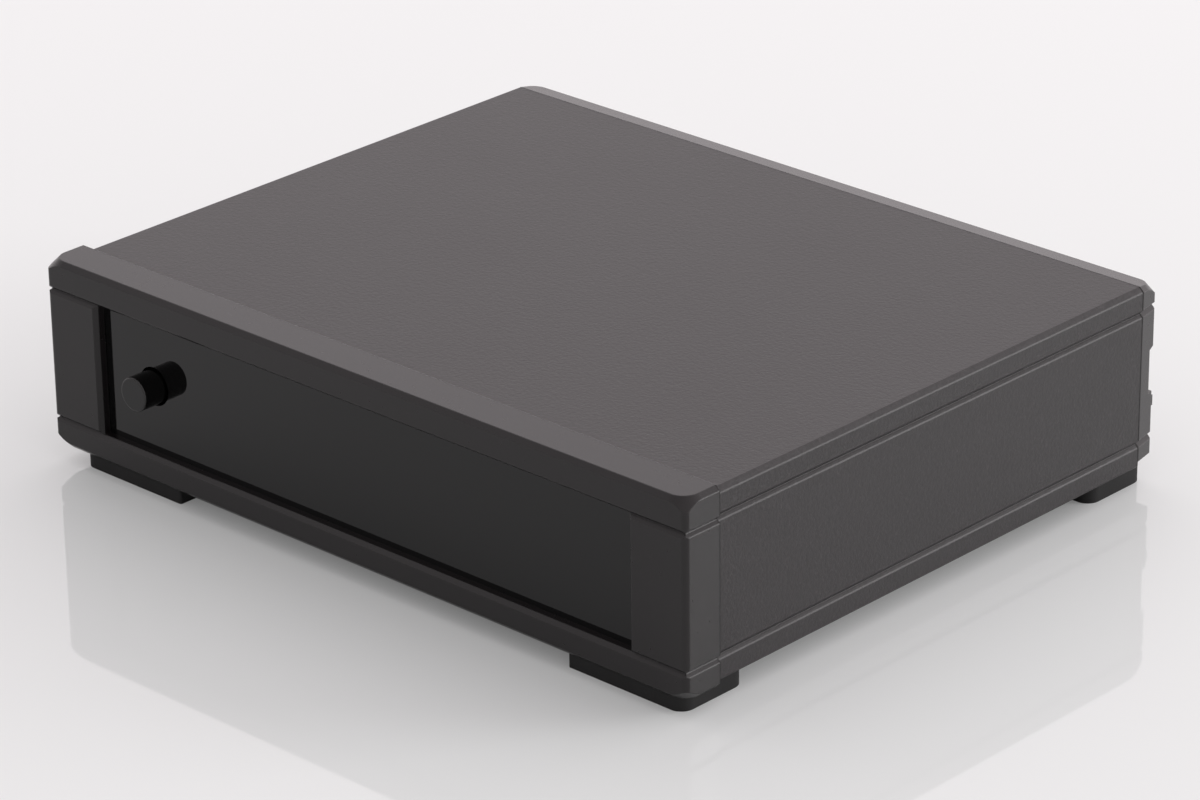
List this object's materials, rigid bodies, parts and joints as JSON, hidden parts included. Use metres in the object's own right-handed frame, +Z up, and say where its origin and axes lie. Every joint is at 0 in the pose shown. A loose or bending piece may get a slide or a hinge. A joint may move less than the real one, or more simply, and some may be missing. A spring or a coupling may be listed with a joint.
{
  "type": "phono preamplifier",
  "caption": "Half-width black phono preamplifier: grooved extruded sleeve, front frame with a gloss fascia and a round push button, rubber pads, rear phono sockets and ground terminal.",
  "frame": {"origin": "on the surface that the pads stand on, under the middle of the whole object's box", "axes": "+X to the right as seen from the front, +Y from the front to the rear sockets, +Z up"},
  "size_m": [0.18, 0.155, 0.0464],
  "materials": {
    "sleeve_coating": "fine textured powder coat, black",
    "frame_plastic": "satin moulded, black",
    "fascia_gloss": "polished black",
    "button_gloss": "polished black",
    "panel_paint": "satin black paint",
    "pad_rubber": "matt black",
    "board_green": "solder mask over glass laminate",
    "switch_plastic": "moulded",
    "plunger_plastic": "natural moulded",
    "spring_steel": "drawn wire",
    "socket_plastic": "moulded",
    "ring_plating": "gold-coloured plating",
    "contact_plating": "gold-coloured plating",
    "white_plastic": "moulded",
    "red_plastic": "moulded",
    "terminal_brass": "gold-coloured plating",
    "washer_steel": "plated",
    "chip_plastic": "moulded epoxy",
    "film_plastic": "moulded box",
    "can_sleeve": "shrunk film over aluminium",
    "resistor_lacquer": "lacquer",
    "regulator_tab": "tinned tab, epoxy body",
    "relay_plastic": "moulded cover",
    "screw_zinc": "zinc plated",
    "screw_black": "black finish"
  },
  "bodies": {
    "case": {"sleeve": "sleeve_coating", "front_frame": "frame_plastic", "rear_frame": "frame_plastic", "fascia_panel": "fascia_gloss", "rear_panel": "panel_paint", "front_left_pad": "pad_rubber", "front_right_pad": "pad_rubber", "rear_left_pad": "pad_rubber", "rear_right_pad": "pad_rubber", "circuit_board": "board_green", "push_switch": "switch_plastic", "switch_spring": "spring_steel", "output_socket_block": "socket_plastic", "input_socket_block": "socket_plastic", "output_socket_rings": "ring_plating", "input_socket_rings": "ring_plating", "left_socket_insulators": "white_plastic", "right_socket_insulators": "red_plastic", "socket_contacts": "contact_plating", "ground_post": "terminal_brass", "power_inlet": "socket_plastic", "power_inlet_pin": "washer_steel", "op_amps": "chip_plastic", "film_capacitors": "film_plastic", "electrolytic_capacitors": "can_sleeve", "transistors": "chip_plastic", "resistors": "resistor_lacquer", "regulators": "regulator_tab", "muting_relay": "relay_plastic", "front_screws": "screw_zinc", "rear_screws": "screw_black", "socket_screws": "screw_black"},
    "power_button": {"power_button": "button_gloss", "switch_plunger": "plunger_plastic"},
    "ground_washer": {"ground_washer": "washer_steel"},
    "ground_nut": {"ground_nut": "terminal_brass"}
  },
  "joints": [
    {"name": "button_press", "type": "slide", "parent": "case", "child": "power_button", "axis": [0, 1, 0], "range_m": [0, 0.003], "stiffness_N_per_m": 400, "springref_m": -0.001, "deforming": ["switch_spring"]},
    {"name": "washer_slide", "type": "slide", "parent": "case", "child": "ground_washer", "axis": [0, 1, 0], "range_m": [0, 0.0014]},
    {"name": "nut_turn", "type": "hinge", "parent": "ground_washer", "child": "ground_nut", "pos_m": [-0.016, 0.0704, 0.02482], "axis": [0, 1, 0], "range_deg": [0, 720.01]}
  ],
  "couplings": [
    {"joint": "nut_turn", "follows": "washer_slide", "rad_per_m": 8976}
  ]
}
